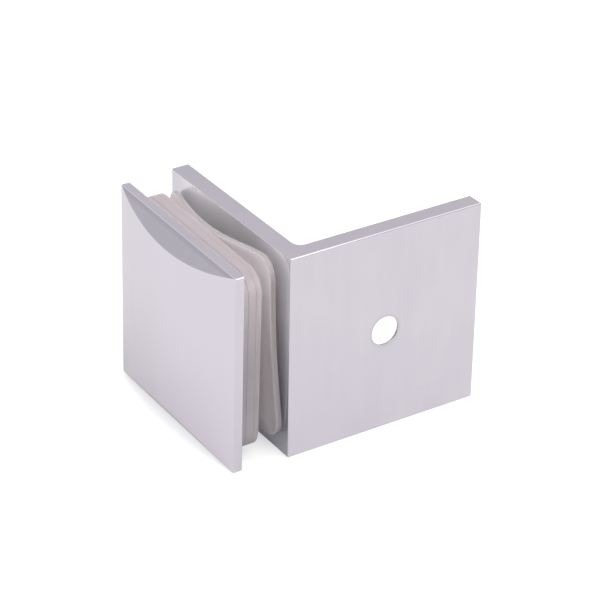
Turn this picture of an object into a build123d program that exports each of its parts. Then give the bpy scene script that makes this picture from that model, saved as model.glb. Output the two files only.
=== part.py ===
from build123d import *
from math import radians, tan
import os

# Glass clamp: an L-shaped bracket fixed to a wall, and a crowned front plate that a screw
# draws towards the bracket's clamp leg, with soft pads each side of the glass.
# Millimetres. The origin is the centre of the wall screw's hole, on the face that meets the
# wall. +Y points away from the wall, +Z up, and +X along the wall, away from the glass.

# Bracket
bracket_height = 50.0
wall_leg_length = 50.0
clamp_leg_length = 50.0
leg_thickness = 4.5
inside_radius = 2.0
bracket_edge_radius = 0.4
corner_to_wall_hole = 25.0
wall_hole_radius = 3.5
wall_sink_radius = 7.5

# Clamp screw, countersunk, with a hexagon socket
wall_to_clamp_screw = 25.0
screw_radius = 3.0
screw_length = 16.0
screw_tip_chamfer = 0.5
head_radius = 6.0
head_rim = 0.3
head_recess = 0.2
head_clearance = 0.1
socket_flats = 4.0
socket_depth = 2.2
shank_clearance = 0.3
sink_angle = 90.0

# Front plate, which has turned a little about its screw
plate_width = 49.0
plate_height = 49.0
plate_edge = 2.25
plate_crown = 2.9
plate_bevel_angle = 54.5
plate_gap = 11.25
plate_askew = 1.0
plate_edge_radius = 0.3
boss_radius = 6.0
boss_length = 9.3
bore_past_boss = 2.0
thread_clearance = 0.05

# Pads: two thick ones and a thin one on the front plate, and a thin one on the bracket. A pad's
# askew is its turn about the screw, and its lift how far it sits above the screw's axis.
pad_size = 45.0
pad_corner_radius = 5.0
pad_rim_chamfer = 0.2
pad_hole_clearance = 1.0
thick_pad_thickness = 2.0
thin_pad_thickness = 1.25
thick_pad_count = 2
front_pad_slack = 0.1
front_pad_lift = 0.3
front_pad_askew = 1.6
back_pad_lift = 0.35
back_pad_askew = -1.8
back_pad_seat_gap = 0.15
back_pad_crest_gap = 0.1

# Bow of the back pad: across its top edge, the distance that it stands off the clamp leg at each
# station, as a share of the crest, from the wall side to the free side. Up the pad, the share of
# that top bow at each height.
bow_across = ((-1.10, 0.62), (-0.74, 0.35), (-0.22, 0.91), (0.05, 1.00), (0.50, 0.73), (1.05, 0.02))
bow_upwards = ((-1.05, 0.0), (-0.46, 0.38), (0.10, 0.82), (0.45, 0.93), (1.05, 1.0))

# Places worked out from the sizes
corner_x = -corner_to_wall_hole
clamp_leg_inside_x = corner_x + leg_thickness
plate_back_x = corner_x - plate_gap
pad_hole_radius = boss_radius + pad_hole_clearance
front_pad_thicknesses = [thick_pad_thickness] * thick_pad_count + [thin_pad_thickness]
pad_stack_depth = sum(front_pad_thicknesses)
stack_face_x = plate_back_x + front_pad_slack + pad_stack_depth
head_top_x = clamp_leg_inside_x - head_recess
clamp_sink_radius = head_radius + head_rim + head_recess + head_clearance
clamp_hole_radius = screw_radius + shank_clearance
bow_crest = corner_x - stack_face_x - thin_pad_thickness - back_pad_crest_gap


def plane_on_screw(x, lift, askew):
    # A plane across the screw's axis that faces away from the bracket. Its x points to the wall and
    # is turned about the axis, and its y points up.
    wallward = Vector(0, -1, 0).rotate(Axis.X, askew)
    return Plane(origin=(x, wall_to_clamp_screw, lift), x_dir=wallward, z_dir=(-1, 0, 0))


# Planes: the clamp leg's inner face for the screw, the front plate's own planes, and the pads'
screw_axis_point = (clamp_leg_inside_x, wall_to_clamp_screw, 0)
clamp_leg_inside = Plane(origin=screw_axis_point, x_dir=(0, 1, 0), z_dir=(1, 0, 0))
plate_face = plane_on_screw(plate_back_x, 0, plate_askew)
front_pad_face = plane_on_screw(plate_back_x + front_pad_slack, front_pad_lift, front_pad_askew)
back_pad_face = plane_on_screw(corner_x, back_pad_lift, back_pad_askew)
plate_plan = Plane(origin=plate_face.origin, x_dir=plate_face.x_dir, z_dir=-plate_face.y_dir)
plate_side = Plane(origin=plate_face.origin, x_dir=plate_face.z_dir, z_dir=-plate_face.x_dir)
plate_back = Plane(origin=plate_face.origin, x_dir=-plate_face.x_dir, z_dir=-plate_face.z_dir)

# Bracket: an L in plan with rounded corners, carried up to its height
with BuildPart() as bracket:
    with BuildSketch(Plane.XY.offset(-bracket_height / 2)) as bracket_plan:
        with BuildLine():
            Polyline(
                (corner_x, 0),
                (corner_x + wall_leg_length, 0),
                (corner_x + wall_leg_length, leg_thickness),
                (clamp_leg_inside_x, leg_thickness),
                (clamp_leg_inside_x, clamp_leg_length),
                (corner_x, clamp_leg_length),
                close=True,
            )
        make_face()
        inside_corner = (clamp_leg_inside_x, leg_thickness, 0)
        outer_corners = bracket_plan.vertices().sort_by_distance(inside_corner)[1:]
        fillet(outer_corners, radius=bracket_edge_radius)
        fillet(bracket_plan.vertices().sort_by_distance(inside_corner)[0], radius=inside_radius)
    extrude(amount=bracket_height)
    fillet(bracket.faces().filter_by(Axis.Z).edges(), radius=bracket_edge_radius)
    wall_leg_inside = Plane(origin=(0, leg_thickness, 0), x_dir=(1, 0, 0), z_dir=(0, 1, 0))
    with Locations(wall_leg_inside):
        CounterSinkHole(wall_hole_radius, wall_sink_radius, counter_sink_angle=sink_angle)
    with Locations(clamp_leg_inside):
        CounterSinkHole(clamp_hole_radius, clamp_sink_radius, counter_sink_angle=sink_angle)
bracket.part.label = "bracket"

# Clamp screw: half its section turned about its axis, then the socket
with BuildPart() as clamp_screw:
    screw_axis = Axis((head_top_x, wall_to_clamp_screw, 0), (1, 0, 0))
    head_depth = head_rim + head_radius - screw_radius
    tip_x = head_top_x - screw_length
    with BuildSketch(Plane.XY):
        with BuildLine():
            Polyline(
                (head_top_x, wall_to_clamp_screw),
                (head_top_x, wall_to_clamp_screw + head_radius),
                (head_top_x - head_rim, wall_to_clamp_screw + head_radius),
                (head_top_x - head_depth, wall_to_clamp_screw + screw_radius),
                (tip_x + screw_tip_chamfer, wall_to_clamp_screw + screw_radius),
                (tip_x, wall_to_clamp_screw + screw_radius - screw_tip_chamfer),
                (tip_x, wall_to_clamp_screw),
                close=True,
            )
        make_face()
    revolve(axis=screw_axis)
    with BuildSketch(clamp_leg_inside.offset(-head_recess)):
        RegularPolygon(socket_flats / 2, 6, major_radius=False)
    extrude(amount=-socket_depth, mode=Mode.SUBTRACT)
clamp_screw.part.label = "clamp_screw"

# Front plate: a crowned plan carried up the plate, cut to a bevelled side view, with a
# tapped boss on its back
with BuildPart() as front_plate:
    half_width = plate_width / 2
    half_height = plate_height / 2
    bevel_reach = 2 * plate_crown
    bevel_drop = bevel_reach * tan(radians(plate_bevel_angle))
    with BuildSketch(plate_plan):
        with BuildLine():
            Line((-half_width, plate_edge), (-half_width, 0))
            Line((-half_width, 0), (half_width, 0))
            Line((half_width, 0), (half_width, plate_edge))
            ThreePointArc((half_width, plate_edge), (0, plate_edge + plate_crown), (-half_width, plate_edge))
        make_face()
    extrude(amount=half_height, both=True)
    with BuildSketch(plate_side):
        with BuildLine():
            Polyline(
                (0, -half_height),
                (plate_edge, -half_height),
                (plate_edge + bevel_reach, bevel_drop - half_height),
                (plate_edge + bevel_reach, half_height - bevel_drop),
                (plate_edge, half_height),
                (0, half_height),
                close=True,
            )
        make_face()
    extrude(amount=half_width, both=True, mode=Mode.INTERSECT)
    fillet(front_plate.edges(), radius=plate_edge_radius)
    with BuildSketch(plate_back):
        Circle(boss_radius)
    extrude(amount=boss_length)
    with Locations(plate_back.offset(boss_length)):
        Hole(screw_radius + thread_clearance, depth=boss_length + bore_past_boss)
front_plate.part.label = "front_plate"

# Front pads: flat sheets stacked on the plate's back
front_pads = []
for index, thickness in enumerate(front_pad_thicknesses):
    with BuildPart() as front_pad:
        with BuildSketch(front_pad_face.offset(-sum(front_pad_thicknesses[:index]))):
            RectangleRounded(pad_size, pad_size, pad_corner_radius)
            Circle(pad_hole_radius, mode=Mode.SUBTRACT)
        extrude(amount=-thickness)
        flat_sides = front_pad.faces().filter_by(Axis.X)
        rim_edges = [edge for side in flat_sides for edge in side.outer_wire().edges()]
        chamfer(rim_edges, length=pad_rim_chamfer)
    front_pad.part.label = f"front_pad_{index + 1}"
    front_pads.append(front_pad)

# Back pad: a thin sheet lofted through bowed strips, then cut to its outline and hole
with BuildPart() as back_pad:
    half_pad = pad_size / 2
    for height_share, bow_share in bow_upwards:
        rear_points = []
        for station, standoff in bow_across:
            rear_x = corner_x - back_pad_seat_gap - bow_share * standoff * (bow_crest - back_pad_seat_gap)
            rear_points.append((rear_x, wall_to_clamp_screw + station * half_pad))
        front_points = [(x - thin_pad_thickness, y) for x, y in rear_points]
        with BuildSketch(Plane.XY.offset(back_pad_lift + height_share * half_pad)):
            with BuildLine():
                rear_line = Spline(*rear_points)
                front_line = Spline(*front_points)
                Line(rear_line @ 0, front_line @ 0)
                Line(rear_line @ 1, front_line @ 1)
            make_face()
    loft()
    with BuildSketch(back_pad_face):
        RectangleRounded(pad_size, pad_size, pad_corner_radius)
        Circle(pad_hole_radius, mode=Mode.SUBTRACT)
    extrude(amount=plate_gap, mode=Mode.INTERSECT)
back_pad.part.label = "back_pad"

# Export, one file for each piece
os.makedirs("parts", exist_ok=True)
for piece in [bracket, clamp_screw, front_plate, back_pad, *front_pads]:
    export_step(piece.part, f"parts/{piece.part.label}.step")
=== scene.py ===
import math

import bmesh
import bpy
from mathutils import Matrix, Vector
from mathutils.bvhtree import BVHTree


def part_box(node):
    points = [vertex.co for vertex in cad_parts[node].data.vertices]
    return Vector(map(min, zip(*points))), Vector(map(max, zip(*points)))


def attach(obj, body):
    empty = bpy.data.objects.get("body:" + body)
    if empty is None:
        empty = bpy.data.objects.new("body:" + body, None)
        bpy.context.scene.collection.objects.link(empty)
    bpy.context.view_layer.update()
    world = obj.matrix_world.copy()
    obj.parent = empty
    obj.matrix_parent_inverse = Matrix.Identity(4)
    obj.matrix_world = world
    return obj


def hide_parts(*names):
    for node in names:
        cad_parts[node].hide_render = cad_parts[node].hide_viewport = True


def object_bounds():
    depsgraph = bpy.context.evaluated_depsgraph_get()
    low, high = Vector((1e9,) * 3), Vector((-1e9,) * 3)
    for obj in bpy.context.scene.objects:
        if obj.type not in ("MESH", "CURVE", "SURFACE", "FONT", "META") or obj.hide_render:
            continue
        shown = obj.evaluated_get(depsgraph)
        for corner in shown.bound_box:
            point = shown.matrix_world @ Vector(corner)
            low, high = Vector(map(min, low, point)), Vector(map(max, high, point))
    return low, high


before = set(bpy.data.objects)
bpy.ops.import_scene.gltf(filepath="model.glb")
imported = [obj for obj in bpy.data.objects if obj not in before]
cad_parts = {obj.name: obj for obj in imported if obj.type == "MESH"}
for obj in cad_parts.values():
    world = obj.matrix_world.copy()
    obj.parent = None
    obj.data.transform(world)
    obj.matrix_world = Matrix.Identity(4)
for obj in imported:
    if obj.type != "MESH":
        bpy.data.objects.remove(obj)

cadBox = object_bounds()
mm = 0.001

# Glass clamp: a chrome bracket and front plate, soft vinyl pads, and the screw between them.
# Metres, in the frame's own axes: +Y away from the wall, +Z up, +X along the wall.
screwLow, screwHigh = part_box("clamp_screw")
screwAxis = (screwLow + screwHigh) / 2
print("frame loaded:", ", ".join(sorted(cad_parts)))


# Node helpers
def addNode(tree, kind, inputs=None, **settings):
    # Each input is a fixed value or another node's output
    node = tree.nodes.new(kind)
    for name, value in settings.items():
        setattr(node, name, value)
    for label, value in (inputs or {}).items():
        if isinstance(value, bpy.types.NodeSocket):
            tree.links.new(value, node.inputs[label])
        else:
            node.inputs[label].default_value = value
    return node


def calc(tree, operation, *terms):
    # What one Math node makes of its terms
    return addNode(tree, "ShaderNodeMath", dict(enumerate(terms)), operation=operation).outputs[0]


def lengthOf(tree, a, b):
    # Of a flat vector with these two parts
    squares = calc(tree, "ADD", calc(tree, "MULTIPLY", a, a), calc(tree, "MULTIPLY", b, b))
    return calc(tree, "POWER", squares, 0.5)


def partsOf(tree, vector):
    return addNode(tree, "ShaderNodeSeparateXYZ", {"Vector": vector}).outputs


def rangeMask(tree, value, start, end):
    # 0 up to the start and 1 from the end on, eased between them; the end may be the lower one
    return addNode(tree, "ShaderNodeMapRange", {
        "Value": value,
        "From Min": start,
        "From Max": end,
    }, interpolation_type="SMOOTHSTEP").outputs["Result"]


# Camera, lights and floor
cameraView = {
    "target": (-20.0 * mm, 15.0 * mm, 0.0),
    "azimuth": -123.224,  # degrees, of the camera as seen from the target
    "elevation": 29.747,
    "roll": 0.977,
    "distance": 576.83 * mm,
    "across": 6.20 * mm,  # how far the lens stands to the right of the target's line
    "above": 5.56 * mm,
    "focalPixels": 2610.18,
    "photoSide": 600,  # pixels
    "sensor": 36.0,
    "clipStart": 10.0 * mm,
}

studio = {
    "floorSide": 8.0,
    "floorColor": (0.63, 0.63, 0.63),
    "floorRoughness": 0.9,
    "glowToLens": 0.55,
    "glowInMirror": 0.14,  # what the metal sees of the floor's glow
    "roomTones": (  # colours at these heights on a globe of radius 1, from the horizon to the ceiling
        (0.08, (0.90, 0.90, 0.90)),
        (0.22, (0.565, 0.565, 0.59)),
        (0.32, (0.565, 0.565, 0.59)),
        (0.52, (0.64, 0.63, 0.66)),
        (0.66, (0.64, 0.63, 0.66)),
        (0.84, (1.25, 1.25, 1.25)),
    ),
    "keyAzimuth": -78.0,
    "keyElevation": 53.0,
    "keyStrength": 1.0,
    "keyWidth": 46.0,  # degrees across
}


def directionOf(azimuth, elevation):
    a, e = math.radians(azimuth), math.radians(elevation)
    return Vector((math.cos(e) * math.cos(a), math.cos(e) * math.sin(a), math.sin(e)))


def makeCamera(v):
    towards = directionOf(v["azimuth"], v["elevation"])
    level = Vector((0, 0, 1)).cross(towards).normalized()
    upright = towards.cross(level)
    roll = math.radians(v["roll"])
    right = level * math.cos(roll) + upright * math.sin(roll)
    up = upright * math.cos(roll) - level * math.sin(roll)
    lens = bpy.data.cameras.new("camera")
    lens.sensor_width = v["sensor"]
    lens.lens = v["focalPixels"] / v["photoSide"] * v["sensor"]
    lens.clip_start = v["clipStart"]
    camera = bpy.data.objects.new("camera", lens)
    place = Vector(v["target"]) + right * v["across"] + up * v["above"] + towards * v["distance"]
    turn = Matrix((right, up, towards)).transposed()
    camera.matrix_world = Matrix.Translation(place) @ turn.to_4x4()
    bpy.context.scene.collection.objects.link(camera)
    bpy.context.scene.camera = camera


def makeWorld(s):
    world = bpy.data.worlds.new("studioRoom")
    bpy.context.scene.world = world
    world.use_nodes = True
    tree = world.node_tree
    direction = addNode(tree, "ShaderNodeTexCoord").outputs["Generated"]
    ramp = addNode(tree, "ShaderNodeValToRGB", {"Fac": partsOf(tree, direction)["Z"]})
    ramp.color_ramp.interpolation = "EASE"
    stops = ramp.color_ramp.elements
    (lowest, horizon), *walls, (highest, ceiling) = s["roomTones"]
    stops[0].position, stops[0].color = lowest, (*horizon, 1)
    stops[1].position, stops[1].color = highest, (*ceiling, 1)
    for height, color in walls:
        stops.new(height).color = (*color, 1)
    tree.links.new(ramp.outputs["Color"], tree.nodes["Background"].inputs["Color"])


def makeKeyLight(s):
    lamp = bpy.data.lights.new("keyLight", "SUN")
    lamp.energy = s["keyStrength"]
    lamp.angle = math.radians(s["keyWidth"])
    light = bpy.data.objects.new("keyLight", lamp)
    light.rotation_mode = "QUATERNION"
    light.rotation_quaternion = directionOf(s["keyAzimuth"], s["keyElevation"]).to_track_quat("Z", "Y")
    bpy.context.scene.collection.objects.link(light)


def makeFloor(s):
    low = cadBox[0]
    side = s["floorSide"] / 2
    mesh = bpy.data.meshes.new("floor")
    corners = [(x, y, low.z) for x, y in ((-side, -side), (side, -side), (side, side), (-side, side))]
    mesh.from_pydata(corners, [], [(0, 1, 2, 3)])
    floor = bpy.data.objects.new("floor", mesh)
    bpy.context.scene.collection.objects.link(floor)
    material = bpy.data.materials.new("paleFloor")
    material.use_nodes = True
    tree = material.node_tree
    shader = tree.nodes["Principled BSDF"].inputs
    shader["Base Color"].default_value = (*s["floorColor"], 1)
    shader["Roughness"].default_value = s["floorRoughness"]
    shader["Specular IOR Level"].default_value = 0.0
    shader["Emission Color"].default_value = (1, 1, 1, 1)
    rays = addNode(tree, "ShaderNodeLightPath").outputs
    seen = calc(tree, "MAXIMUM", rays["Is Camera Ray"], rays["Is Transmission Ray"])
    toLens = calc(tree, "MULTIPLY", seen, s["glowToLens"])
    glow = calc(tree, "MULTIPLY_ADD", rays["Is Glossy Ray"], s["glowInMirror"], toLens)
    tree.links.new(glow, shader["Emission Strength"])
    mesh.materials.append(material)


makeCamera(cameraView)
makeWorld(studio)
makeKeyLight(studio)
makeFloor(studio)
bpy.context.scene.view_settings.view_transform = "Standard"
print("camera, room, key light and floor made")


# Shader groups that more than one finish uses
smudgePattern = {
    "patchDetail": 3.0,
    "patchDistortion": 0.6,
    "streakDetail": 2.0,
    "streakStretch": (1.0, 1.0, 0.18),  # streaks run up and down
    "levels": (0.38, 0.64),  # noise below the first is clean, and above the second fully smudged
}

grainPattern = {
    "grainDetail": 4.0,
    "waveDetail": 1.0,
    "levels": (0.3, 0.7),
}


def newGroup(name, inputs, outputs):
    # A group that takes a vector and some values, and puts out values
    group = bpy.data.node_groups.new(name, "ShaderNodeTree")
    group.interface.new_socket("Vector", in_out="INPUT", socket_type="NodeSocketVector")
    for label, value in inputs.items():
        socket = group.interface.new_socket(label, in_out="INPUT", socket_type="NodeSocketFloat")
        socket.default_value = value
    for label in outputs:
        group.interface.new_socket(label, in_out="OUTPUT", socket_type="NodeSocketFloat")
    given, result = addNode(group, "NodeGroupInput"), addNode(group, "NodeGroupOutput")
    return group, given.outputs, result.inputs


def makeSmudgeGroup(p):
    # Soft patches where the surface was wiped or held, mixed with streaks along one axis
    inputs = {"Patch Scale": 40.0, "Streak Scale": 250.0, "Streak Share": 0.4}
    group, given, result = newGroup("handlingSmudge", inputs, ["Mask"])
    patches = addNode(group, "ShaderNodeTexNoise", {
        "Vector": given["Vector"],
        "Scale": given["Patch Scale"],
        "Detail": p["patchDetail"],
        "Distortion": p["patchDistortion"],
    })
    stretch = addNode(group, "ShaderNodeMapping", {"Vector": given["Vector"], "Scale": p["streakStretch"]})
    streaks = addNode(group, "ShaderNodeTexNoise", {
        "Vector": stretch.outputs["Vector"],
        "Scale": given["Streak Scale"],
        "Detail": p["streakDetail"],
    })
    mix = addNode(group, "ShaderNodeMix", {
        "Factor": given["Streak Share"],
        "A": patches.outputs["Fac"],
        "B": streaks.outputs["Fac"],
    })
    group.links.new(rangeMask(group, mix.outputs["Result"], *p["levels"]), result["Mask"])
    return group


def makeGrainGroup(p):
    # Fine unevenness in the skin of a part: a height for the bump, and a mask for the gloss
    inputs = {"Grain Scale": 1500.0, "Wave Scale": 90.0, "Wave Share": 0.5}
    group, given, result = newGroup("surfaceGrain", inputs, ["Height", "Mask"])
    grain = addNode(group, "ShaderNodeTexNoise", {
        "Vector": given["Vector"],
        "Scale": given["Grain Scale"],
        "Detail": p["grainDetail"],
    })
    wave = addNode(group, "ShaderNodeTexNoise", {
        "Vector": given["Vector"],
        "Scale": given["Wave Scale"],
        "Detail": p["waveDetail"],
    })
    mix = addNode(group, "ShaderNodeMix", {
        "Factor": given["Wave Share"],
        "A": grain.outputs["Fac"],
        "B": wave.outputs["Fac"],
    })
    contrast = addNode(group, "ShaderNodeMapRange", {
        "Value": wave.outputs["Fac"],
        "From Min": p["levels"][0],
        "From Max": p["levels"][1],
    })
    group.links.new(mix.outputs["Result"], result["Height"])
    group.links.new(contrast.outputs["Result"], result["Mask"])
    return group


smudgeGroup = makeSmudgeGroup(smudgePattern)
grainGroup = makeGrainGroup(grainPattern)
print("shader groups made")


# Finishes
def newFinish(name):
    material = bpy.data.materials.new(name)
    material.use_nodes = True
    tree = material.node_tree
    position = addNode(tree, "ShaderNodeTexCoord").outputs["Object"]
    return material, tree, tree.nodes["Principled BSDF"].inputs, position


def addGroup(tree, group, position, values):
    return addNode(tree, "ShaderNodeGroup", {"Vector": position, **values}, node_tree=group).outputs


def facingMask(tree, axis, start, end):
    # By the surface's normal, in the object's own axes
    normal = addNode(tree, "ShaderNodeTexCoord").outputs["Normal"]
    return rangeMask(tree, partsOf(tree, normal)[axis], start, end)


def colorBetween(tree, mask, first, second, socket):
    mix = addNode(tree, "ShaderNodeMix", {
        "Factor": mask,
        "A": (*first, 1),
        "B": (*second, 1),
    }, data_type="RGBA")
    tree.links.new(mix.outputs["Result"], socket)


def paintOver(tree, mask, color, socket):
    # Another colour over the one that the socket already has, where the mask is 1
    mix = addNode(tree, "ShaderNodeMix", {
        "Factor": mask,
        "A": socket.links[0].from_socket,
        "B": (*color, 1),
    }, data_type="RGBA")
    tree.links.new(mix.outputs["Result"], socket)


def valueBetween(tree, mask, ends, socket):
    span = addNode(tree, "ShaderNodeMapRange", {"Value": mask, "To Min": ends[0], "To Max": ends[1]})
    tree.links.new(span.outputs["Result"], socket)


def bumpFrom(tree, height, distance, shader):
    bump = addNode(tree, "ShaderNodeBump", {"Height": height, "Distance": distance})
    tree.links.new(bump.outputs["Normal"], shader["Normal"])


# In every look below, a pair of limits runs from where a tone begins to where it is full.
# Reaches are distances from the wall, and facings are parts of the surface's normal.
chromeLook = {
    "clean": (0.795, 0.753, 0.806),
    "hazed": (0.757, 0.725, 0.785),
    "roughness": (0.035, 0.11),  # where clean, and where smudged
    "patchScale": 38.0,
    "streakScale": 260.0,
    "streakShare": 0.35,
    "grainScale": 700.0,
    "waveScale": 70.0,
    "waveShare": 0.9,
    "bumpHeight": 0.004 * mm,
    "glassSideDepth": 0.05 * mm,  # the clamp leg's face towards the glass, felt this deep
    "glassSideRoughness": 0.20,  # less polished than the rest
    "glassSidePaintedLight": (0.92, 0.895, 0.92),  # painted light behind the back pad
    "glassSideReach": (47.5 * mm, 39.0 * mm),
    "glassSidePaintedShade": (0.50, 0.505, 0.555),  # painted shade low down
    "glassSideHeights": (14.0 * mm, -14.0 * mm),
    "holeRimPaintedShade": (0.69, 0.665, 0.70),  # painted shade round the wall hole
    "holeRimRadii": (4.5 * mm, 3.5 * mm),
    "plateFacing": (-0.86, -0.93),  # along X, for the front plate's crowned face
    "plateNearPaintedLight": (0.82, 0.772, 0.842),  # painted light: that face is lighter towards the wall
    "plateNearReach": (46.0 * mm, 24.0 * mm),
    "plateTurn": 1.0,  # degrees about the screw
    "edgeHeights": (23.3 * mm, 24.0 * mm),  # the plate's upper edge, above the screw
    "edgeShadeAndHighlight": (  # colour, and the upward facings where it begins and where it ends
        ((0.70, 0.66, 0.715), (0.5, 0.56), (0.72, 0.62)),  # painted shade just below the edge
        ((0.94, 0.905, 0.945), (0.62, 0.72), (0.995, 0.95)),  # painted highlight on its rounding
    ),
}


def paintGlassSide(tree, look, place, glassSide, color):
    # Painted light on the clamp leg's face behind the back pad
    paintedLightMask = calc(tree, "MULTIPLY", glassSide, rangeMask(tree, place["Y"], *look["glassSideReach"]))
    # Painted shade over that painted light, low down on the face
    low = calc(tree, "MULTIPLY", paintedLightMask, rangeMask(tree, place["Z"], *look["glassSideHeights"]))
    paintOver(tree, paintedLightMask, look["glassSidePaintedLight"], color)
    paintOver(tree, low, look["glassSidePaintedShade"], color)


def paintFrontPlate(tree, look, place, color):
    onPlate = calc(tree, "LESS_THAN", place["X"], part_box("bracket")[0].x - mm)
    onFace = calc(tree, "MULTIPLY", onPlate, facingMask(tree, "X", *look["plateFacing"]))
    # Painted light on the crowned face, lighter towards the wall
    near = calc(tree, "MULTIPLY", onFace, rangeMask(tree, place["Y"], *look["plateNearReach"]))
    paintOver(tree, near, look["plateNearPaintedLight"], color)
    # Painted shade just below the plate's upper edge, and a painted highlight on its rounding
    slope = math.tan(math.radians(look["plateTurn"]))
    levelled = calc(tree, "MULTIPLY_ADD", place["Y"], -slope, slope * screwAxis.y)
    atEdge = rangeMask(tree, calc(tree, "ADD", place["Z"], levelled), *look["edgeHeights"])
    atEdge = calc(tree, "MULTIPLY", onPlate, atEdge)
    for tone, begins, ends in look["edgeShadeAndHighlight"]:
        slanted = calc(tree, "MULTIPLY", facingMask(tree, "Z", *begins), facingMask(tree, "Z", *ends))
        paintOver(tree, calc(tree, "MULTIPLY", atEdge, slanted), tone, color)


def makeChrome(look):
    material, tree, shader, position = newFinish("polishedChrome")
    color = shader["Base Color"]
    place = partsOf(tree, position)
    smudge = addGroup(tree, smudgeGroup, position, {
        "Patch Scale": look["patchScale"],
        "Streak Scale": look["streakScale"],
        "Streak Share": look["streakShare"],
    })
    grain = addGroup(tree, grainGroup, position, {
        "Grain Scale": look["grainScale"],
        "Wave Scale": look["waveScale"],
        "Wave Share": look["waveShare"],
    })
    colorBetween(tree, smudge["Mask"], look["clean"], look["hazed"], color)
    glassSide = calc(tree, "COMPARE", place["X"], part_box("bracket")[0].x, look["glassSideDepth"])
    roughness = addNode(tree, "ShaderNodeMix", {"Factor": glassSide, "B": look["glassSideRoughness"]})
    valueBetween(tree, smudge["Mask"], look["roughness"], roughness.inputs["A"])
    tree.links.new(roughness.outputs["Result"], shader["Roughness"])
    paintGlassSide(tree, look, place, glassSide, color)
    # Painted shade in a ring round the wall hole
    fromHole = lengthOf(tree, place["X"], place["Z"])
    paintOver(tree, rangeMask(tree, fromHole, *look["holeRimRadii"]), look["holeRimPaintedShade"], color)
    paintFrontPlate(tree, look, place, color)
    bumpFrom(tree, grain["Height"], look["bumpHeight"], shader)
    shader["Metallic"].default_value = 1.0
    return material


vinylLook = {
    # painted shade: the pads grow darker from the first height down to the second
    "paintedShadeHeights": (18.0 * mm, -2.0 * mm),
    "smudgeShare": 0.2,  # of the darkening that follows the smudges, not the painted shade by height
    "roughness": (0.50, 0.65),
    "patchScale": 60.0,
    "streakShare": 0.2,
    "grainScale": 2600.0,
    "waveScale": 120.0,
    "waveShare": 0.6,
    "bumpHeight": 0.03 * mm,
    "subsurface": 1.0,
    "subsurfaceRadius": (1.0, 0.97, 0.97),
    "rearFacing": (0.3, 0.75),  # along X
}

frontPadLook = {
    **vinylLook,
    "pale": (0.615, 0.545, 0.552),
    # painted shade low down, mixed with the smudges' tone
    "dull": (0.395, 0.365, 0.385),
    "subsurfaceDepth": 0.8 * mm,
    # painted shade: the top faces darker
    "top": (0.50, 0.437, 0.458),
    "topFacing": (0.4, 0.9),  # along Z
    # painted light: the rear faces, along +X, paler
    "rear": (0.92, 0.87, 0.86),
    "seamPaintedShade": (0.25, 0.23, 0.24),  # painted shade in the seam between the two thick pads
    "seamPaintedShadeWidth": 0.24 * mm,
    "seamPaintedShadeShare": 0.5,
}

backPadLook = {
    **vinylLook,
    "pale": (0.77, 0.715, 0.735),
    # painted shade low down, mixed with the smudges' tone
    "dull": (0.48, 0.445, 0.465),
    "subsurfaceDepth": 3.0 * mm,
    "inner": (0.86, 0.80, 0.82),  # painted light, in from the outline
    "innerReach": (22.3 * mm, 18.0 * mm),  # from the pad's middle
    # painted shade on the rim, against its highlight
    "rim": (0.43, 0.39, 0.395),
    "rimFacing": (-0.95, -0.8),  # along X
    # painted shade on the rim, low down
    "lowRimPaintedShade": (0.35, 0.31, 0.315),
    "lowRimHeights": (21.5 * mm, 18.0 * mm),
    # painted light: the rear faces, along +X, paler
    "rear": (0.96, 0.96, 0.95),
}


def makeVinyl(name, look):
    # Painted shade, darker low down, mixed with duller patches where handled
    material, tree, shader, position = newFinish(name)
    place = partsOf(tree, position)
    smudge = addGroup(tree, smudgeGroup, position, {
        "Patch Scale": look["patchScale"],
        "Streak Share": look["streakShare"],
    })
    grain = addGroup(tree, grainGroup, position, {
        "Grain Scale": look["grainScale"],
        "Wave Scale": look["waveScale"],
        "Wave Share": look["waveShare"],
    })
    # Painted shade: darker towards the bottom
    fade = addNode(tree, "ShaderNodeMapRange", {
        "Value": place["Z"],
        "From Min": look["paintedShadeHeights"][0],
        "From Max": look["paintedShadeHeights"][1],
    })
    shadeAndSmudge = addNode(tree, "ShaderNodeMix", {
        "Factor": look["smudgeShare"],
        "A": fade.outputs["Result"],
        "B": smudge["Mask"],
    })
    colorBetween(tree, shadeAndSmudge.outputs["Result"], look["pale"], look["dull"], shader["Base Color"])
    valueBetween(tree, grain["Mask"], look["roughness"], shader["Roughness"])
    bumpFrom(tree, grain["Height"], look["bumpHeight"], shader)
    shader["Subsurface Weight"].default_value = look["subsurface"]
    shader["Subsurface Scale"].default_value = look["subsurfaceDepth"]
    shader["Subsurface Radius"].default_value = look["subsurfaceRadius"]
    return material, tree, place, shader["Base Color"]


def makeFrontVinyl(look):
    material, tree, place, color = makeVinyl("softVinyl", look)
    # Painted shade on the top faces
    paintOver(tree, facingMask(tree, "Z", *look["topFacing"]), look["top"], color)
    # Painted light on the rear faces
    paintOver(tree, facingMask(tree, "X", *look["rearFacing"]), look["rear"], color)
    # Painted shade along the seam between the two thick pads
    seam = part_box("front_pad_2")[0].x
    inSeam = calc(tree, "COMPARE", place["X"], seam, look["seamPaintedShadeWidth"] / 2)
    paintOver(tree, calc(tree, "MULTIPLY", inSeam, look["seamPaintedShadeShare"]), look["seamPaintedShade"], color)
    return material


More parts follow.
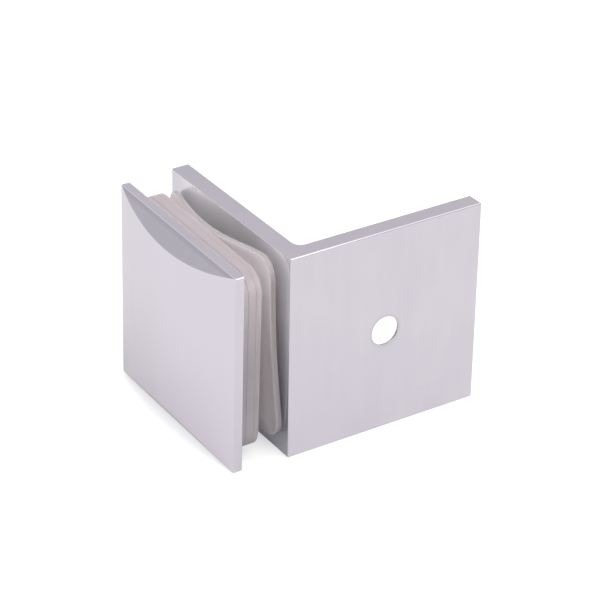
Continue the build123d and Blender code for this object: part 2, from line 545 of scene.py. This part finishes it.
def makeBackVinyl(look):
    material, tree, place, color = makeVinyl("backVinyl", look)
    low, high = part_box("back_pad")
    middle = (low + high) / 2
    across = calc(tree, "ABSOLUTE", calc(tree, "SUBTRACT", place["Y"], middle.y))
    upwards = calc(tree, "ABSOLUTE", calc(tree, "SUBTRACT", place["Z"], middle.z))
    fromMiddle = calc(tree, "MAXIMUM", across, upwards)
    rim = facingMask(tree, "X", *look["rimFacing"])
    lowRimPaintedShade = calc(tree, "MULTIPLY", rim, rangeMask(tree, place["Z"], *look["lowRimHeights"]))
    # Painted light in from the outline
    paintOver(tree, rangeMask(tree, fromMiddle, *look["innerReach"]), look["inner"], color)
    # Painted shade on the rim
    paintOver(tree, rim, look["rim"], color)
    # More painted shade on the rim low down
    paintOver(tree, lowRimPaintedShade, look["lowRimPaintedShade"], color)
    # Painted light on the rear faces
    paintOver(tree, facingMask(tree, "X", *look["rearFacing"]), look["rear"], color)
    return material


steelLook = {
    "bright": (0.62, 0.62, 0.63),
    "dull": (0.46, 0.46, 0.47),
    "roughness": (0.22, 0.38),
    "patchScale": 220.0,
    "streakShare": 0.1,
    "turningPitch": 0.754 * mm,  # spacing of the lathe's rings
    "turningWobble": 0.3,
    "bumpHeight": 0.01 * mm,
}


def makeSteel(look):
    material, tree, shader, position = newFinish("screwSteel")
    smudge = addGroup(tree, smudgeGroup, position, {
        "Patch Scale": look["patchScale"],
        "Streak Share": look["streakShare"],
    })
    centred = addNode(tree, "ShaderNodeMapping", {
        "Vector": position,
        "Location": (0, -screwAxis.y, -screwAxis.z),
    })
    rings = addNode(tree, "ShaderNodeTexWave", {
        "Vector": centred.outputs["Vector"],
        "Scale": 2 * math.pi / (20 * look["turningPitch"]),  # at scale 1 the waves turn 20 radians a metre
        "Distortion": look["turningWobble"],
    }, wave_type="RINGS", rings_direction="X")
    colorBetween(tree, smudge["Mask"], look["bright"], look["dull"], shader["Base Color"])
    valueBetween(tree, smudge["Mask"], look["roughness"], shader["Roughness"])
    bumpFrom(tree, rings.outputs["Fac"], look["bumpHeight"], shader)
    shader["Metallic"].default_value = 1.0
    return material


chrome = makeChrome(chromeLook)
vinyl = makeFrontVinyl(frontPadLook)
backVinyl = makeBackVinyl(backPadLook)
steel = makeSteel(steelLook)

for nodeName in ("bracket", "front_plate"):
    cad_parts[nodeName].data.materials.clear()
    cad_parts[nodeName].data.materials.append(chrome)
print("finishes made, chrome on the bracket and the front plate")


# Mesh helpers
def skinRings(name, rings, closed):
    # A skin over rings of points that all have the same count; closed joins the last ring to the first
    count = len(rings[0])
    mesh = bpy.data.meshes.new(name)
    shape = bmesh.new()
    rows = [[shape.verts.new(point) for point in ring] for ring in rings]
    pairs = list(zip(rows, rows[1:]))
    if closed:
        pairs.append((rows[-1], rows[0]))
    for lower, upper in pairs:
        for i in range(count):
            j = (i + 1) % count
            shape.faces.new((lower[i], lower[j], upper[j], upper[i]))
    if not closed:
        shape.faces.new(rows[0][::-1])
        shape.faces.new(rows[-1])
    bmesh.ops.recalc_face_normals(shape, faces=shape.faces)
    for face in shape.faces:
        face.smooth = True
    shape.to_mesh(mesh)
    shape.free()
    return mesh


def newPiece(name, mesh, body, slotName, *stoodFor):
    piece = bpy.data.objects.new(name, mesh)
    bpy.context.scene.collection.objects.link(piece)
    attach(piece, body)
    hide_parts(*stoodFor)


def nodeTree(name, inputs):
    tree = bpy.data.node_groups.new(name, "GeometryNodeTree")
    sockets = {}
    for label, kind in inputs:
        sockets[label] = tree.interface.new_socket(label, in_out="INPUT", socket_type=kind).identifier
    tree.interface.new_socket("Geometry", in_out="OUTPUT", socket_type="NodeSocketGeometry")
    return tree, sockets, addNode(tree, "NodeGroupInput").outputs


def endTree(tree, given, geometry):
    # Realize Instances and Set Material, and out
    real = addNode(tree, "GeometryNodeRealizeInstances", {"Geometry": geometry})
    finish = addNode(tree, "GeometryNodeSetMaterial", {
        "Geometry": real.outputs["Geometry"],
        "Material": given["Material"],
    })
    addNode(tree, "NodeGroupOutput", {"Geometry": finish.outputs["Geometry"]})


def bakeTree(name, mesh, tree, sockets, values):
    # Runs a node tree on a mesh and keeps only the mesh that comes out
    carrier = bpy.data.objects.new(name, mesh)
    bpy.context.scene.collection.objects.link(carrier)
    modifier = carrier.modifiers.new(tree.name, "NODES")
    modifier.node_group = tree
    for label, value in values.items():
        modifier[sockets[label]] = value
    bpy.context.view_layer.update()
    graph = bpy.context.evaluated_depsgraph_get()
    baked = bpy.data.meshes.new_from_object(carrier.evaluated_get(graph))
    carrier.modifiers.remove(modifier)
    bpy.data.objects.remove(carrier)
    baked.name = name
    return baked


# Pads: a rounded square with a round hole, skinned from ring to ring right round its section
padShape = {
    "size": 45.0 * mm,
    "cornerRadius": 5.0 * mm,
    "holeRadius": 7.0 * mm,
    "rimSteps": 4,
    "rimSupport": 0.06 * mm,  # a ring this far past the rounding keeps the flats flat
    "faceRings": 6,
    "pointsAround": 288,
}


def squareReach(angle, half, radius):
    # From the centre to the outline of a rounded square, at this angle
    c, s = abs(math.cos(angle)), abs(math.sin(angle))
    corner = half - radius
    straight = half / max(c, s)
    if straight * min(c, s) <= corner:
        return straight
    along = corner * (c + s)
    return along + math.sqrt(max(0.0, along * along - 2 * corner * corner + radius * radius))


def sectionOfPad(p, r, thickness):
    # Round the section, with rims of radius r: (share of the way from hole to rim, inset of that
    # outline, depth from the front face)
    past = r + p["rimSupport"]
    shares = [i / (p["faceRings"] + 1) for i in range(p["faceRings"] + 2)]
    quarter = [i / p["rimSteps"] * math.pi / 2 for i in range(p["rimSteps"] + 1)]
    offFace = [(r * (1 - math.sin(a)), r * (1 - math.cos(a))) for a in quarter]
    ontoFace = [(r * (1 - math.cos(a)), r * (1 - math.sin(a))) for a in quarter]
    section = [(share, past, 0.0) for share in shares]
    section += [(1.0, inset, depth) for inset, depth in offFace]
    section += [(1.0, 0.0, past), (1.0, 0.0, thickness - past)]
    section += [(1.0, inset, thickness - depth) for inset, depth in ontoFace]
    section += [(share, past, thickness) for share in reversed(shares)]
    section += [(0.0, inset, thickness - depth) for inset, depth in offFace]
    section += [(0.0, 0.0, thickness - past), (0.0, 0.0, past)]
    section += [(0.0, inset, depth) for inset, depth in ontoFace]
    return section


def padRings(p, rimRadius, thickness, placePoint):
    rings = []
    for share, inset, depth in sectionOfPad(p, rimRadius, thickness):
        ring = []
        for i in range(p["pointsAround"]):
            angle = 2 * math.pi * i / p["pointsAround"]
            outer = squareReach(angle, p["size"] / 2 - inset, p["cornerRadius"] - inset)
            inner = p["holeRadius"] + inset
            reach = inner + (outer - inner) * share
            ring.append(placePoint(reach * math.cos(angle), reach * math.sin(angle), depth))
        rings.append(ring)
    return rings


# Front pads: two thick ones and then a thin one, stacked on the front plate by Geometry Nodes
frontPadStack = {
    "groups": {"thickPads": ("front_pad_1", "front_pad_2"), "thinFrontPad": ("front_pad_3",)},
    "rimRadius": 0.035 * mm,
    "facePlay": 0.004 * mm,  # each sheet is this much thinner than its place in the stack
    "turn": 1.6,  # degrees about the screw
    "slip": 0.04 * mm,
    "twist": 0.05,  # degrees
    "seed": 5,
}


def makeStackTree():
    # Repeats one pad along X, each with its own small slip and twist about the screw
    tree, sockets, given = nodeTree("padStack", [
        ("Geometry", "NodeSocketGeometry"),
        ("Count", "NodeSocketInt"),
        ("Start", "NodeSocketVector"),
        ("Spacing", "NodeSocketVector"),
        ("Turn", "NodeSocketFloat"),
        ("Slip", "NodeSocketFloat"),
        ("Twist", "NodeSocketFloat"),
        ("Seed", "NodeSocketInt"),
        ("Material", "NodeSocketMaterial"),
    ])
    line = addNode(tree, "GeometryNodeMeshLine", {
        "Count": given["Count"],
        "Start Location": given["Start"],
        "Offset": given["Spacing"],
    })
    twist = addNode(tree, "FunctionNodeRandomValue", {
        2: calc(tree, "SUBTRACT", given["Turn"], given["Twist"]),
        3: calc(tree, "ADD", given["Turn"], given["Twist"]),
        "Seed": given["Seed"],
    })
    rotation = addNode(tree, "ShaderNodeCombineXYZ", {"X": twist.outputs[1]})
    place = addNode(tree, "GeometryNodeInstanceOnPoints", {
        "Points": line.outputs["Mesh"],
        "Instance": given["Geometry"],
        "Rotation": rotation.outputs["Vector"],
    })
    slip = addNode(tree, "FunctionNodeRandomValue", {
        0: (0, -1, -1),
        1: (0, 1, 1),
        "Seed": given["Seed"],
    }, data_type="FLOAT_VECTOR")
    scaled = addNode(tree, "ShaderNodeVectorMath", {
        0: slip.outputs[0],
        "Scale": given["Slip"],
    }, operation="SCALE")
    shift = addNode(tree, "GeometryNodeTranslateInstances", {
        "Instances": place.outputs["Instances"],
        "Translation": scaled.outputs[0],
    })
    endTree(tree, given, shift.outputs["Instances"])
    return tree, sockets


def makeFrontPads(p, stack):
    tree, sockets = makeStackTree()

    def placePoint(across, up, depth):
        return (depth, across, up)

    for name, nodes in stack["groups"].items():
        low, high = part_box(nodes[0])
        spacing = high.x - low.x
        rings = padRings(p, stack["rimRadius"], spacing - stack["facePlay"], placePoint)
        onePad = skinRings("onePad", rings, closed=True)
        mesh = bakeTree(name, onePad, tree, sockets, {
            "Count": len(nodes),
            "Start": (low.x + stack["facePlay"] / 2, (low.y + high.y) / 2, (low.z + high.z) / 2),
            "Spacing": (spacing, 0.0, 0.0),
            "Turn": math.radians(stack["turn"]),
            "Slip": stack["slip"],
            "Twist": math.radians(stack["twist"]),
            "Seed": stack["seed"] + len(nodes),
            "Material": vinyl,
        })
        newPiece(name, mesh, "pads", "soft_vinyl", *nodes)


makeFrontPads(padShape, frontPadStack)
print("front pads made")


# Back pad: the same outline, bowed as its solid is
backPadBow = {
    "turn": -1.8,  # degrees about the screw
    "rimRadius": 0.2 * mm,
    "edgeGuard": 0.3 * mm,  # the solid is felt no nearer to its rim than this
    "easeRadius": 0.9 * mm,  # the bow is averaged over a circle this large
    "easePoints": 8,
}


def makeBackPad(p, b):
    low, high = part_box("back_pad")
    centre = (low + high) / 2
    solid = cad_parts["back_pad"].data
    skin = BVHTree.FromPolygons([v.co for v in solid.vertices], [tuple(f.vertices) for f in solid.polygons])
    guardedHalf = p["size"] / 2 - b["edgeGuard"]
    guardedRadius = p["cornerRadius"] - b["edgeGuard"]
    turn = math.radians(b["turn"])

    def feel(across, up):
        # Where a line along X enters the solid and leaves it
        angle, reach = math.atan2(up, across), math.hypot(across, up)
        reach = min(reach, squareReach(angle, guardedHalf, guardedRadius))
        reach = max(reach, p["holeRadius"] + b["edgeGuard"])
        place = (centre.y + reach * math.cos(angle + turn), centre.z + reach * math.sin(angle + turn))
        front = skin.ray_cast(Vector((low.x - mm, *place)), Vector((1, 0, 0)))[0]
        rear = skin.ray_cast(Vector((high.x + mm, *place)), Vector((-1, 0, 0)))[0]
        return front.x, rear.x

    def middleAt(across, up):
        total = sum(feel(across, up))
        for i in range(b["easePoints"]):
            a = 2 * math.pi * i / b["easePoints"]
            total += sum(feel(across + b["easeRadius"] * math.cos(a), up + b["easeRadius"] * math.sin(a)))
        return total / 2 / (b["easePoints"] + 1)

    front, rear = feel(0, guardedHalf)
    thickness = rear - front

    def placePoint(across, up, depth):
        y = centre.y + across * math.cos(turn) - up * math.sin(turn)
        z = centre.z + across * math.sin(turn) + up * math.cos(turn)
        return (middleAt(across, up) - thickness / 2 + depth, y, z)

    mesh = skinRings("backPad", padRings(p, b["rimRadius"], thickness, placePoint), closed=True)
    mesh.materials.append(backVinyl)
    newPiece("backPad", mesh, "bracket", "soft_vinyl", "back_pad")


makeBackPad(padShape, backPadBow)
print("back pad made")


# Clamp screw: a turned blank with a hexagon socket, and a thread that Geometry Nodes cut into it
screwShape = {
    "headRadius": 6.0 * mm,
    "headRim": 0.3 * mm,
    "headRounding": 0.12 * mm,
    "shankRadius": 3.0 * mm,
    "tipChamfer": 0.5 * mm,
    "socketFlats": 4.0 * mm,
    "socketDepth": 2.2 * mm,
    "socketChamfer": 0.2 * mm,
    "drillPoint": 0.6 * mm,  # depth of the cone that the drill left below the socket
    "drillTipRadius": 0.06 * mm,
    "pitch": 1.0 * mm,
    "threadDepth": 0.55 * mm,
    "crestShare": 0.12,  # of the pitch, flat on the crest, and as much in the root
    "threadEnd": 0.4 * mm,  # plain length below the head
    "runOut": 1.0 * mm,
    "pointsAround": 96,
    "ringsPerPitch": 12,
    "sharpAngle": 32.0,  # degrees; a steeper edge stays sharp
}


def hexagonReach(angle, flats):
    # From the centre to the outline of a hexagon, at this angle
    sector = math.pi / 3
    return flats / 2 / math.cos((angle + sector / 2) % sector - sector / 2)


def screwRings(s):
    # From the bottom of the socket, over the head and down the shank to the tip
    top, tip = screwHigh.x, screwLow.x
    mouth = hexagonReach(math.pi / 6, s["socketFlats"]) + s["socketChamfer"] / 2
    headEnd = top - s["headRim"] - (s["headRadius"] - s["shankRadius"])
    turned = [
        (top, mouth),
        (top, mouth + s["headRounding"]),
        (top, s["headRadius"] - 2 * s["headRounding"]),
        (top, s["headRadius"] - s["headRounding"]),
        (top - s["headRounding"], s["headRadius"]),
        (top - s["headRim"], s["headRadius"]),
        (headEnd, s["shankRadius"]),
    ]
    threadLength = headEnd - tip - s["tipChamfer"]
    steps = round(threadLength / s["pitch"] * s["ringsPerPitch"])
    turned += [(headEnd - threadLength * i / steps, s["shankRadius"]) for i in range(1, steps + 1)]
    turned.append((tip, s["shankRadius"] - s["tipChamfer"]))
    angles = [2 * math.pi * i / s["pointsAround"] for i in range(s["pointsAround"])]

    def ring(x, reachAt):
        reaches = [(a, reachAt(a)) for a in angles]
        return [(x, screwAxis.y + r * math.cos(a), screwAxis.z + r * math.sin(a)) for a, r in reaches]

    def hexagon(angle):
        return hexagonReach(angle, s["socketFlats"])

    floorX = top - s["socketDepth"]
    rings = [
        ring(floorX - s["drillPoint"], lambda a: s["drillTipRadius"]),
        ring(floorX, lambda a: s["socketFlats"] / 2 - s["socketChamfer"]),
        ring(floorX, hexagon),
        ring(top - s["socketChamfer"], hexagon),
    ]
    rings += [ring(x, lambda a, r=radius: r) for x, radius in turned]
    return rings, headEnd


def makeThreadTree():
    # Takes away what stands outside a right-handed helical groove about an axis along X
    tree, sockets, given = nodeTree("helicalThread", [
        ("Geometry", "NodeSocketGeometry"),
        ("Axis Point", "NodeSocketVector"),
        ("Radius", "NodeSocketFloat"),
        ("Pitch", "NodeSocketFloat"),
        ("Depth", "NodeSocketFloat"),
        ("Crest Share", "NodeSocketFloat"),
        ("End", "NodeSocketFloat"),
        ("Run Out", "NodeSocketFloat"),
        ("Material", "NodeSocketMaterial"),
    ])
    fromAxis = addNode(tree, "ShaderNodeVectorMath", {
        0: addNode(tree, "GeometryNodeInputPosition").outputs["Position"],
        1: given["Axis Point"],
    }, operation="SUBTRACT")
    place = partsOf(tree, fromAxis.outputs[0])
    x, y, z = place["X"], place["Y"], place["Z"]
    angle = calc(tree, "DIVIDE", calc(tree, "ARCTAN2", z, y), 2 * math.pi)
    turns = calc(tree, "SUBTRACT", calc(tree, "DIVIDE", x, given["Pitch"]), angle)
    fromRoot = calc(tree, "MULTIPLY", calc(tree, "SUBTRACT", calc(tree, "FRACT", turns), 0.5), 2.0)
    groove = addNode(tree, "ShaderNodeMapRange", {  # 1 in the root, 0 on the crest, flanks between
        "Value": calc(tree, "ABSOLUTE", fromRoot),
        "From Min": calc(tree, "SUBTRACT", 1.0, given["Crest Share"]),
        "From Max": given["Crest Share"],
    })
    fade = addNode(tree, "ShaderNodeMapRange", {  # the groove fades out towards the head
        "Value": x,
        "From Min": given["End"],
        "From Max": calc(tree, "SUBTRACT", given["End"], given["Run Out"]),
    })
    cutShare = calc(tree, "MULTIPLY", groove.outputs["Result"], fade.outputs["Result"])
    cut = calc(tree, "MULTIPLY", cutShare, given["Depth"])
    reach = lengthOf(tree, y, z)
    newReach = calc(tree, "MINIMUM", reach, calc(tree, "SUBTRACT", given["Radius"], cut))
    inwards = calc(tree, "SUBTRACT", calc(tree, "DIVIDE", newReach, reach), 1.0)
    offset = addNode(tree, "ShaderNodeCombineXYZ", {
        "Y": calc(tree, "MULTIPLY", y, inwards),
        "Z": calc(tree, "MULTIPLY", z, inwards),
    })
    move = addNode(tree, "GeometryNodeSetPosition", {
        "Geometry": given["Geometry"],
        "Selection": calc(tree, "LESS_THAN", x, given["End"]),
        "Offset": offset.outputs["Vector"],
    })
    endTree(tree, given, move.outputs["Geometry"])
    return tree, sockets


def makeClampScrew(s):
    rings, headEnd = screwRings(s)
    blank = skinRings("screwBlank", rings, closed=False)
    tree, sockets = makeThreadTree()
    mesh = bakeTree("clampScrew", blank, tree, sockets, {
        "Axis Point": (0.0, screwAxis.y, screwAxis.z),
        "Radius": s["shankRadius"],
        "Pitch": s["pitch"],
        "Depth": s["threadDepth"],
        "Crest Share": s["crestShare"],
        "End": headEnd - s["threadEnd"],
        "Run Out": s["runOut"],
        "Material": steel,
    })
    mesh.set_sharp_from_angle(angle=math.radians(s["sharpAngle"]))
    newPiece("clampScrew", mesh, "screw", "screw_steel", "clamp_screw")


makeClampScrew(screwShape)
print("clamp screw made")
